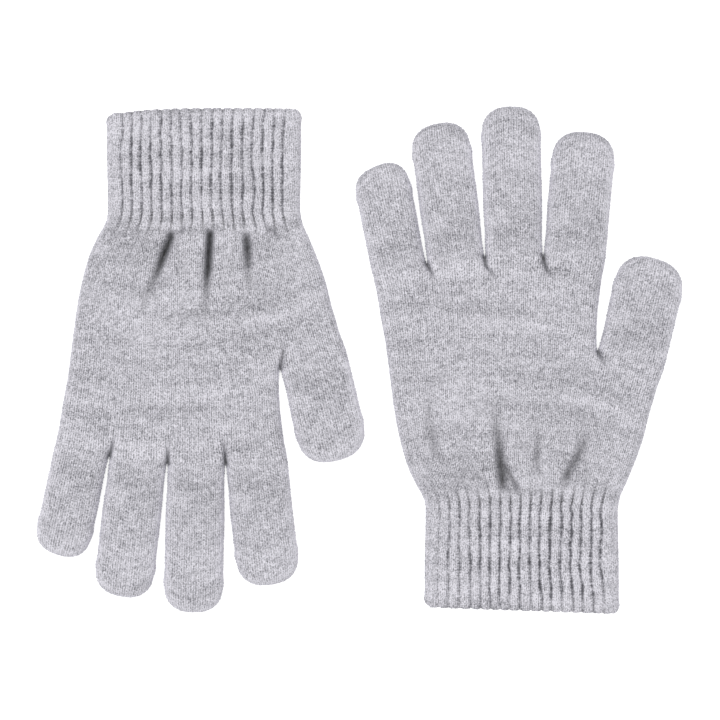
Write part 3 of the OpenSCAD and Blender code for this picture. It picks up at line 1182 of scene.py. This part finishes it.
    def layer(self, face: Face) -> Patch:
        """Knits one layer of the digit."""
        columns = self.size.wales * RESOLVE_WALE + 1
        dense = np.linspace(0, 1, SAMPLES)
        shares = self.rows()
        rows, courses, inner, middles, runs = [], [], [], [], []
        for k in range(3, 0, -1):
            across, _ = self.spread(dense, 0.0, columns, face)
            along = np.full(columns, -self.tuck * k / 3)
            inner.append(self.inside(across, np.zeros(columns)))
            middles.append(across)
            runs.append(along)
            rows.append(self.ground(across, along, face, inner[-1]))
            courses.append(-k / 3)
        for j, v in enumerate(shares):
            across, along = self.spread(dense, float(v), columns, face)
            near = self.inside(across, along)
            move = self.wander * self.wobble.at(across, along) * ease(0.2, 4, near)
            rows.append(self.ground(across + move, along, face, near))
            inner.append(near)
            middles.append(across)
            runs.append(along)
            courses.append(j / RESOLVE_COURSE)
        points = np.array(rows)
        courses = np.array(courses)
        knit = np.stack(np.meshgrid(np.arange(columns) / RESOLVE_WALE, courses), axis=2)
        fade = ease(0, 1, courses[-1] - courses) * np.where(courses < 0, 0, root_fade(courses))
        x, y = points[..., 0], points[..., 1]
        # painted shade in pleats on the palm side
        sunk = sum(crease.sink(x, y) for crease in self.lie.creases) if face is Face.PALM else 0 * x
        past = ease(0, 8, courses * COURSE_H)[:, None]
        tip = ease(0, 0.8 * self.radius, np.array(runs) - self.straight)
        # painted highlight along the sides, half as strong beside another finger; the tips are
        # painted paler on the left glove and darker on the right
        side = self.lie.painted_side_light.get(self.size.name, self.painted_edge_light)
        side = side * np.where(self.outer(middles), 1.0, 0.5)
        pale = painted_edge_light(np.array(inner), side * (1 - tip) + self.lie.painted_tip_light * tip, self.painted_edge_w)
        depth = np.clip(sunk / FULL_SHADE, 0, 1) + pale * past
        return knitted(points, knit, depth, face, fade[:, None])

    def spread(self, dense: Array, v: float, columns: int, face: Face) -> tuple[Array, Array]:
        """Spaces the wales evenly on the cloth in one row."""
        across, along = self.flat_plan(dense, v)
        inside = self.inside(across, along)
        z = self.loft.dome(inside) * (self.loft.over if face is Face.PALM else self.loft.under)
        q = spaced(np.stack([across, along, z], axis=1), columns)
        return self.flat_plan(q, v)

    def build(self, finish: bpy.types.Material) -> None:
        """Makes the digit, finds the hinge points across its root and bakes its transform into its
        mesh.
        """
        side = self.lie.hand.value
        name = f"{side}_{self.size.name}"
        patches = [self.layer(face) for face in Face]
        piece = make_cloth(f"{name}_knit", patches, self.lie, finish)
        start, end = (
            self.lie.hinge(*(self.root + self.size.along * run)) for run in (0.0, self.bend_l)
        )
        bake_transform(piece)
        settle(piece, (name,))


@dataclass
class Cuff:
    """The ribbed cuff of one glove: an outer tube that rolls in at its mouth."""

    RIB_PLACES = (-40.0, -22.0, -6.0, 14.0, 40.0)  # the X that each number of rib_keep is for

    lie: Lie
    loft: Loft
    rib_count: int = 20
    rib_columns: int = 14
    rib_depth: float = 0.8
    knit_share: float = 0.68  # how much of a rib is its two wales of knit
    crown: float = 0.25  # painted highlight: how much paler a rib's crown is painted, as a share of the depth's scale
    flare: float = 0.45  # how much wider each half is below the wrist
    corner_r: float = 3.0
    courses: int = 32
    wall: float = 1.7
    tuck: float = 1.5  # how far it starts inside the hand
    lining_rows: int = 10
    lip_rows: int = 6
    lip_proud: float = 0.25  # how far the lip stands out from the wall
    lip_out: float = 0.8  # how far it rolls past the mouth
    lip_painted_shade: float = 0.35  # painted shade: how much depth the mouth's tighter courses are painted with
    mouth_fade: Point = (-37.5, -42.5)  # where the grooves turn half as deep
    side_fade: Point = (3.0, 7.5)  # how far from its sides they come up to their depth
    waver_w: float = 0.42  # how far a rib wavers
    lean_w: float = 0.9  # how far several lean together
    groove_uneven: float = 0.3
    stitch_uneven: float = 0.5
    bend_l: float = 15.0  # how far below the wrist its second hinge point is taken

    def __post_init__(self) -> None:
        """Seeds the waver of the ribs."""
        self.waver = Drift(self.lie.seed + 21, 3.2, 4.5)
        self.lean = Drift(self.lie.seed + 22, 14, 16)
        self.stitches = Drift(self.lie.seed + 23, 2.2, 1.1)

    def half_width(self, y: Array) -> Array:
        """Gives half the cuff's width at each height."""
        return PLAN.wrist_w / 2 + self.flare * ease(0, -30, y)

    def end(self, share: Array) -> Array:
        """Gives how far the mouth is from the wrist at each share across."""
        steps = np.linspace(0, 1, len(self.lie.cuff_end))
        corner = np.minimum(share, 1 - share) * 2 * self.half_width(-40.0)
        ends = through(tuple(steps), self.lie.cuff_end, np.asarray(share))
        turn = 1 - np.clip(corner / self.corner_r, 0, 1)
        return ends - 0.9 * self.corner_r * (1 - np.sqrt(1 - turn**2))

    def section(self, q: Array, y: Array, face: Face, inset: Array | float) -> Array:
        """Gives the tube's ground, inset towards the inside of its wall.

        Args:
            q: Shares across the face.
            y: Places along the cuff.
            face: Palm or back.
            inset: How deep in the wall, in millimetres.

        Returns:
            Points in the glove's frame.
        """
        half = self.half_width(y) - inset
        x = (2 * q - 1) * half
        near = half - np.abs(x)
        stand = self.loft.over if face is Face.PALM else self.loft.under
        edge = np.clip(near, 0, None)
        if face is Face.PALM:
            level = self.loft.height(x, np.clip(y, -60, 0), edge, face) - self.loft.edge_z
            level = level - 0.5 * ease(0, -6, y) * self.loft.dome(edge)
        else:
            level = -self.loft.dome(edge) * (self.loft.under - 0.2)
        z = self.loft.edge_z + level * (1 - inset / stand)
        return np.stack([x, y + 0 * x, z], axis=-1)

    def shallow(self, x: Array, y: Array | float) -> Array:
        """Gives the share of their depth that the grooves keep towards the cuff's sides."""
        keep = np.interp(x, self.RIB_PLACES, self.lie.rib_keep)
        keep = keep * (1 - 0.5 * ease(*self.mouth_fade, y))
        return keep * (0.1 + 0.9 * ease(*self.side_fade, self.half_width(y) - np.abs(x)))

    def rib_at(self, x: Array, face: Face) -> Array:
        """Gives the rib that lies at each place across the wrist line."""
        share = (x / self.half_width(0.0) + 1) / 2
        q = self.columns(face)
        return np.interp(share, q, np.linspace(0, self.rib_count, len(q)))

    def columns(self, face: Face) -> Array:
        """Spaces the ribs evenly on the cloth, and gives their shares across the face."""
        dense = np.linspace(0, 1, 1201)
        line = self.section(dense, 0 * dense - 20.0, face, 0.0)
        return spaced(line, self.rib_count * self.rib_columns + 1)

    def layer(self, face: Face) -> Patch:
        """Knits one layer of the cuff, from the wrist round its lip and back up inside."""
        q = self.columns(face)
        ribs = np.linspace(0, self.rib_count, len(q))
        ends = self.end(q)
        groove = rib_groove(ribs)
        body = np.arange(self.courses * RESOLVE_COURSE + 1) / (self.courses * RESOLVE_COURSE)
        roll = np.arange(1, self.lip_rows + 1) / self.lip_rows * math.pi
        lining = np.arange(1, self.lining_rows + 1) / self.lining_rows
        rows, counts = [], []
        for step in (self.tuck, self.tuck / 2):
            rows.append(self.section(q, np.full(len(q), step), face, 0.5 + 0 * q))
            counts.append(step / COURSE_H)
        for t in body:
            y = -t * ends
            rows.append(self.section(q, y, face, -self.lip_proud * ease(0.9, 1.0, t)))
            counts.append(-t * self.courses)
        for turn in roll:
            inset = (self.wall + self.lip_proud) / 2 * (1 - math.cos(turn)) - self.lip_proud
            y = -ends - self.lip_out * math.sin(turn) * (1 - 0.35 * groove)
            rows.append(self.section(q, y, face, inset))
            counts.append(-self.courses - turn / 2)
        for t in lining:
            y = -ends * (1 - t) + self.tuck * t
            rows.append(self.section(q, y, face, self.wall))
            counts.append(-self.courses - 2 - t * self.courses)
        points, counts = np.array(rows), np.array(counts)
        wales = 3 * np.floor(ribs) + self.wale_in_rib(ribs - np.floor(ribs))
        knit = np.stack(np.meshgrid(wales, counts), axis=2)
        outside = np.zeros(len(counts))
        outside[2 : 2 + len(body)] = 1
        outside[2 + len(body) : 2 + len(body) + self.lip_rows] = 1 - ease(0.3, 1, roll / math.pi)
        return self.ribbed(points, knit, ribs, q, face, outside[:, None])

    def wale_in_rib(self, inside: Array) -> Array:
        """Gives the wale in a rib: two of knit on its crown, and one of purl in the groove."""
        knit, purl = self.knit_share, 1 - self.knit_share
        return np.where(inside < knit, inside / knit * 2, 2 + (inside - knit) / purl)

    def ribbed(
        self, points: Array, knit: Array, ribs: Array, shares: Array, face: Face, outside: Array
    ) -> Patch:
        """Sinks the grooves, wavers the ribs and raises the stitches."""
        x, y = points[..., 0], points[..., 1]
        keep = ease(0.5, 5, self.half_width(y) - np.abs(x)) * (1 - ease(-3, 0, y))
        stray = self.waver_w * self.waver.at(x, y) + self.lean_w * self.lean.at(x, y)
        points[..., 0] += stray * keep
        normals = -outward(points, face)  # the rows run down the glove, so outward looks in
        below = 1 - ease(-4, 0, y)
        groove = rib_groove(ribs[None, :], knit[..., 1]) * self.shallow(x, y) * outside
        groove = groove * (1 + self.stitch_uneven * self.stitches.at(x, y) * below)
        groove = groove * (1 + self.groove_uneven * self.waver.at(x + 40, y + 40) * below)
        lift = Stitch().lift(knit[..., 0], knit[..., 1]) * outside
        raised = points + normals * (lift - self.rib_depth * groove)[..., None]
        # painted shade in the grooves and painted highlight on the ribs' crowns
        keep = 0.3 + 0.7 * np.interp(x, self.RIB_PLACES, self.lie.rib_keep)
        depth = groove * (1 + self.crown) - self.crown * keep * outside
        # painted shade along the cuff's mouth
        lip = 1 - ease(0, self.lie.lip_shade, self.end(shares)[None, :] + y)
        depth = depth + self.lip_painted_shade * lip * outside
        return Patch(raised, knit, depth, turned=face is Face.PALM)

    def bend(self, piece: bpy.types.Object) -> None:
        """Finds the wrist's hinge points and bakes a piece of the cuff's transform into its mesh.
        """
        start, end = (self.lie.hinge(0.0, y) for y in (0.0, -self.bend_l))
        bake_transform(piece)

    def build(self, finish: bpy.types.Material) -> None:
        """Makes the cuff and bakes its transform into its mesh."""
        side = self.lie.hand.value
        patches = []
        for face in Face:
            patch = self.layer(face)
            patch.points = np.concatenate([patch.points, patch.points[:1]])
            patch.knit = np.concatenate([patch.knit, patch.knit[-1:]])
            patch.depth = np.concatenate([patch.depth, patch.depth[-1:]])
            patches.append(patch)
        seam = (patches[0].points[:, [0, -1]] + patches[1].points[:, [0, -1]]) / 2
        for patch in patches:
            patch.points[:, [0, -1]] = seam
        piece = make_cloth(f"{side}_rib_cuff", patches, self.lie, finish)
        self.bend(piece)
        settle(piece, (f"{side}_cuff", f"{side}_cuff_welt"))


@dataclass
class Threads:
    """The elastic rounds inside a cuff's wall, and the stitches that close its forks."""

    lie: Lie
    cuff: Cuff
    rounds: int = 8
    elastic_d: float = 0.4
    elastic_in: float = 1.45  # how deep in the wall it lies
    cuff_l: float = 40.4
    stitch_d: float = 0.5
    stitch_half: float = 0.9  # how far a stitch reaches to each side

    def tube(
        self, name: str, lines: list[Array], ring: bool, thick: float, finish: bpy.types.Material
    ) -> bpy.types.Object:
        """Makes round threads along lines of points.

        Args:
            name: The piece's name.
            lines: The threads' lines, in the glove's frame.
            ring: Whether each line closes on itself.
            thick: The threads' thickness in millimetres.
            finish: The threads' finish.

        Returns:
            The piece, as a mesh.
        """
        curve = bpy.data.curves.new(name + "_line", "CURVE")
        curve.dimensions = "3D"
        curve.bevel_depth = thick / 2 * MM
        curve.bevel_resolution = 1
        curve.use_fill_caps = not ring
        for line in lines:
            spline = curve.splines.new("POLY")
            spline.points.add(len(line) - 1)
            made = np.concatenate([self.lie.place(line), np.ones((len(line), 1))], axis=1)
            spline.points.foreach_set("co", made.ravel())
            spline.use_cyclic_u = ring
        guide = put(name + "_line", curve)
        bpy.context.view_layer.update()
        shown = guide.evaluated_get(bpy.context.evaluated_depsgraph_get())
        mesh = bpy.data.meshes.new_from_object(shown)
        bpy.data.objects.remove(guide)
        bpy.data.curves.remove(curve)
        mesh.name = name
        mesh.materials.clear()
        mesh.materials.append(finish)
        mesh.polygons.foreach_set("use_smooth", np.ones(len(mesh.polygons), bool))
        return put(name, mesh)

    def elastic(self, finish: bpy.types.Material) -> None:
        """Lays the rounds of elastic in the cuff's wall."""
        side = self.lie.hand.value
        lines = []
        for i in range(1, self.rounds + 1):
            y = -i * self.cuff_l / (self.rounds + 1)
            top, bottom = (
                self.cuff.section(q, y + 0 * q, face, self.elastic_in)
                for face, q in ((face, self.cuff.columns(face)[::7]) for face in Face)
            )
            lines.append(np.concatenate([top, bottom[-2:0:-1]]))
        piece = self.tube(f"{side}_elastic_rounds", lines, True, self.elastic_d, finish)
        self.cuff.bend(piece)
        settle(piece, (f"{side}_cuff_elastic",))

    def forks(self, finish: bpy.types.Material) -> None:
        """Sews each fork closed with three small stitches across it."""
        side = self.lie.hand.value
        lines = []
        z = self.cuff.loft.edge_z
        leans = {"little_ring": -10, "ring_middle": -4, "middle_index": 2, "thumb": 10}
        for name, lean in leans.items():
            fx, fy = PLAN.forks[name]
            for step in (-0.55, 0.0, 0.5):
                t = np.linspace(-1, 1, 9)
                x = fx + self.stitch_half * t + step * math.sin(math.radians(lean))
                y = fy + step + 0.25 * t
                lines.append(np.stack([x, y, z + 0.35 * (1 - t**2)], axis=1))
        piece = self.tube(f"{side}_fork_threads", lines, False, self.stitch_d, finish)
        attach(piece, f"{side}_hand")
        settle(piece, (f"{side}_fork_stitches",))


# ---------------------------------------------------------------- the pair


RIGHT_LIE = Lie(
    hand=Hand.RIGHT,
    seed=31,
    tips={
        "little_finger": (-59.4, 136.0),
        "ring_finger": (-34.4, 153.1),
        "middle_finger": (-4.6, 160.3),
        "index_finger": (26.3, 148.5),
        "thumb": (54.0, 93.1),
    },
    creases=(
        Crease(
            ((-12.6, 57.0), (-11.8, 41.3), (-10.3, 30.0), (-9.5, 21.5), (-8.2, 11.6), (-7.8, 6.0)),
            (0.0, 0.4, 1.5, 2.6, 2.9, 0.1),
            2.3,
        ),
        Crease(((-7.6, 20.4), (-6.0, 16.4), (-2.6, 9.6), (-1.2, 6.0)), (0.0, 1.2, 1.8, 0.2), 1.3),
        Crease(((6.7, 40.2), (6.5, 21.5), (6.4, 13.0)), (0.0, 1.1, 0.2), 1.8),
        Crease(((29.3, 33.5), (24.6, 23.7), (19.4, 14.2), (16.6, 7.0)), (0.0, 1.5, 1.9, 0.2), 2.1),
        Crease(
            ((-40.6, 53.8), (-39.9, 36.1), (-36.9, 23.7), (-28.0, 14.8), (-25.5, 9.0)),
            (0.0, 0.7, 0.8, 0.5, 0.1),
            2.2,
        ),
        Crease(((-30.5, 13.0), (-31.0, 21.0), (-30.0, 32.0)), (-0.2, -0.7, 0.0), 4.8),
        Crease(((-16.5, 10.0), (-16.8, 22.0), (-18.0, 36.0)), (-0.2, -0.8, 0.0), 4.6),
        Crease(((12.5, 9.0), (14.0, 19.5), (15.0, 32.0)), (-0.2, -0.7, 0.0), 4.4),
        Crease(((-41.2, 105.4), (-37.6, 98.5)), (2.6, 0.8), 0.95),
        Crease(((-16.3, 108.2), (-15.6, 104.1), (-11.4, 98.9)), (3.0, 2.0, 0.5), 0.95),
        Crease(((9.0, 108.6), (10.5, 102.3), (13.1, 99.8)), (3.0, 1.6, 0.5), 0.95),
        Crease(((32.6, 67.5), (35.9, 61.1)), (2.6, 0.5), 1.0),
    ),
    cuff_end=(41.7, 42.6, 43.3, 44.0, 44.7),
    rib_keep=(0.6, 0.8, 1.0, 1.1, 1.05),
    slants={"little_finger": 0.16, "ring_finger": 0.05, "thumb": -0.04},
    painted_side_light={"index_finger": 0.6, "thumb": 0.6},
    painted_tip_light=-0.1,
    lip_shade=3.9,
)
LEFT_LIE = Lie(
    hand=Hand.LEFT,
    seed=57,
    tips={
        "little_finger": (-59.9, 136.2),
        "ring_finger": (-33.9, 153.1),
        "middle_finger": (-4.5, 159.8),
        "index_finger": (26.9, 147.2),
        "thumb": (53.9, 92.7),
    },
    creases=(
        Crease(
            (
                (-12.8, 7.0), (-14.2, 10.8), (-16.9, 17.4), (-19.6, 25.0),
                (-21.6, 30.0), (-27.0, 41.0), (-29.0, 47.0),
            ),
            (0.1, 3.2, 3.7, 2.3, 1.1, 0.4, 0.0),
            1.8,
        ),
        Crease(((-5.5, 8.0), (-6.5, 16.0), (-9.0, 34.0)), (-0.4, -0.9, 0.0), 4.6),
        Crease(((10.2, 8.0), (10.4, 16.0), (10.6, 32.0)), (-0.4, -0.9, 0.0), 4.4),
        Crease(((26.0, 10.0), (27.0, 17.0), (29.0, 32.0)), (-0.3, -0.7, 0.0), 4.8),
        Crease(((-22.0, 9.0), (-26.5, 17.0), (-32.0, 30.0)), (-0.3, -0.7, 0.0), 4.6),
        Crease(
            (
                (3.0, 6.8), (2.7, 9.8), (2.2, 17.2), (1.8, 23.5),
                (1.4, 29.0), (1.1, 35.0), (0.4, 44.0), (0.0, 53.0),
            ),
            (0.2, 4.4, 4.9, 3.7, 2.3, 1.0, 0.4, 0.0),
            1.7,
        ),
        Crease(
            ((17.9, 7.6), (18.4, 11.2), (18.8, 15.6), (19.1, 21.0), (19.5, 26.0), (20.4, 36.0)),
            (0.1, 2.7, 3.1, 2.0, 0.8, 0.0),
            1.95,
        ),
        Crease(((26.6, 4.2), (28.5, 7.4), (35.0, 13.5)), (0.3, 1.5, 0.0), 1.2),
        Crease(((-7.6, 4.6), (-8.6, 7.5), (-10.6, 11.5)), (0.2, 1.4, 0.0), 1.0),
        Crease(((-40.8, 105.2), (-38.5, 98.0)), (2.8, 0.8), 0.95),
        Crease(((-15.6, 108.0), (-15.3, 101.1)), (3.0, 0.8), 0.95),
        Crease(((9.4, 108.2), (8.8, 100.2)), (3.0, 0.8), 0.95),
        Crease(((32.7, 67.5), (34.6, 58.1)), (2.6, 0.4), 1.0),
        Crease(((-37.0, 98.0), (-35.5, 93.3)), (-0.5, -0.2), 1.4),
        Crease(((-13.4, 101.0), (-11.8, 96.3)), (-0.5, -0.2), 1.4),
    ),
    cuff_end=(41.4, 43.2, 43.8, 43.8, 43.4),
    rib_keep=(0.9, 0.9, 0.9, 0.9, 1.0),
    slants={"little_finger": 0.06, "ring_finger": 0.05},
    painted_side_light={"thumb": 0.85},
    painted_tip_light=0.4,
    lip_shade=1.9,
)


@dataclass
class Finishes:
    """The materials of the pair."""

    plain: bpy.types.Material = field(default_factory=lambda: HeatherKnit().build())
    fine: bpy.types.Material = field(
        default_factory=lambda: HeatherKnit(
            name="heather_tube_knit", valley=0.26, legs=0.18, gap_shade=0.68, speckles=0.66, level=0.65
        ).build()
    )
    rib: bpy.types.Material = field(
        default_factory=lambda: HeatherKnit(
            name="heather_rib_knit", hollow=0.17, proud=0.42, level=0.67
        ).build()
    )
    thread: bpy.types.Material = field(default_factory=lambda: SpunThread().build())
    elastic: bpy.types.Material = field(
        default_factory=lambda: SpunThread("covered_rubber", "#C9C8CC", "#8F8E94").build()
    )


@dataclass
class Glove:
    """One glove of the pair."""

    lie: Lie

    def build(self, finishes: Finishes) -> None:
        """Makes every piece of the glove.

        Args:
            finishes: The pair's materials.
        """
        loft = Loft(self.lie)
        cuff = Cuff(self.lie, loft)
        HandSection(self.lie, loft, cuff).build(finishes.plain)
        for size in DIGITS:
            Digit(size, self.lie, loft).build(finishes.fine)
        cuff.build(finishes.rib)
        threads = Threads(self.lie, cuff)
        threads.elastic(finishes.elastic)
        threads.forks(finishes.thread)


@dataclass
class Studio:
    """The white table, the soft light and the camera straight above."""

    frame_w: float = 0.3096
    camera_z: float = 1.50
    look_z: float = 0.006
    sensor: float = 36.0
    sky: float = 0.72
    key: float = 0.85
    key_turn: tuple[float, float] = (24.0, 150.0)  # lean from the zenith, turn about it
    key_spread: float = 60.0  # how wide the lamp looks, in degrees
    glow: float = 0.76  # what the table adds for the eye alone, so that it is white

    def floor(self) -> None:
        """Lays the table, which looks white and still takes the gloves' shadow."""
        work = bmesh.new()
        bmesh.ops.create_grid(work, x_segments=8, y_segments=8, size=2.0)
        mesh = bpy.data.meshes.new("floor")
        work.to_mesh(mesh)
        work.free()
        s = Shader("white_table")
        diffuse = s.node("BsdfDiffuse", None, {"Color": linear("#ECECEC")})
        glow = s.node("Emission", None, {"Color": (1, 1, 1, 1), "Strength": self.glow})
        ray = s.node("LightPath")
        rays = (ray.outputs[f"Is {kind} Ray"] for kind in ("Camera", "Glossy"))
        seen = s.sum("MINIMUM", s.sum("ADD", *rays), 1.0)
        none = s.node("Emission", None, {"Color": (0, 0, 0, 1), "Strength": 0.0})
        extra = s.node("MixShader", None, {0: seen, 1: none.outputs[0], 2: glow.outputs[0]})
        both = s.node("AddShader", None, {0: diffuse.outputs[0], 1: extra.outputs[0]})
        mesh.materials.append(s.finish(both.outputs[0]))
        put("floor", mesh)

    def light(self) -> None:
        """Sets a white sky and a wide soft key from the left."""
        world = bpy.data.worlds.new("studio")
        world.use_nodes = True
        tree = world.node_tree
        tree.nodes.clear()
        ray = add_node(tree, "LightPath")
        sky = add_node(tree, "Background", None, {"Color": (1, 1, 1, 1), "Strength": self.sky})
        white = add_node(tree, "Background", None, {"Color": (1, 1, 1, 1), "Strength": 1.0})
        mix = add_node(
            tree,
            "MixShader",
            None,
            {0: ray.outputs["Is Camera Ray"], 1: sky.outputs[0], 2: white.outputs[0]},
        )
        add_node(tree, "OutputWorld", None, {"Surface": mix.outputs[0]})
        bpy.context.scene.world = world
        lamp = bpy.data.lights.new("key", "SUN")
        lamp.energy = self.key
        lamp.angle = math.radians(self.key_spread)
        lean, turn = (math.radians(a) for a in self.key_turn)
        put("key", lamp).rotation_euler = (lean, 0, turn + math.pi / 2)

    def camera(self) -> None:
        """Puts the camera straight above the pair."""
        lens = bpy.data.cameras.new("camera")
        lens.sensor_width = self.sensor
        lens.lens = self.sensor * (self.camera_z - self.look_z) / self.frame_w
        lens.clip_end = 20
        camera = put("camera", lens)
        camera.location = (0, 0, self.camera_z)
        bpy.context.scene.camera = camera

    def build(self) -> None:
        """Sets the whole stage."""
        bpy.context.scene.view_settings.view_transform = "Standard"
        self.floor()
        self.light()
        self.camera()


def main() -> None:
    """Builds the stage and the pair."""
    logging.basicConfig(level=logging.INFO, format="%(name)s: %(message)s")
    Studio().build()
    finishes = Finishes()
    for lie in (RIGHT_LIE, LEFT_LIE):
        Glove(lie).build(finishes)


if __name__ == "__main__":
    main()
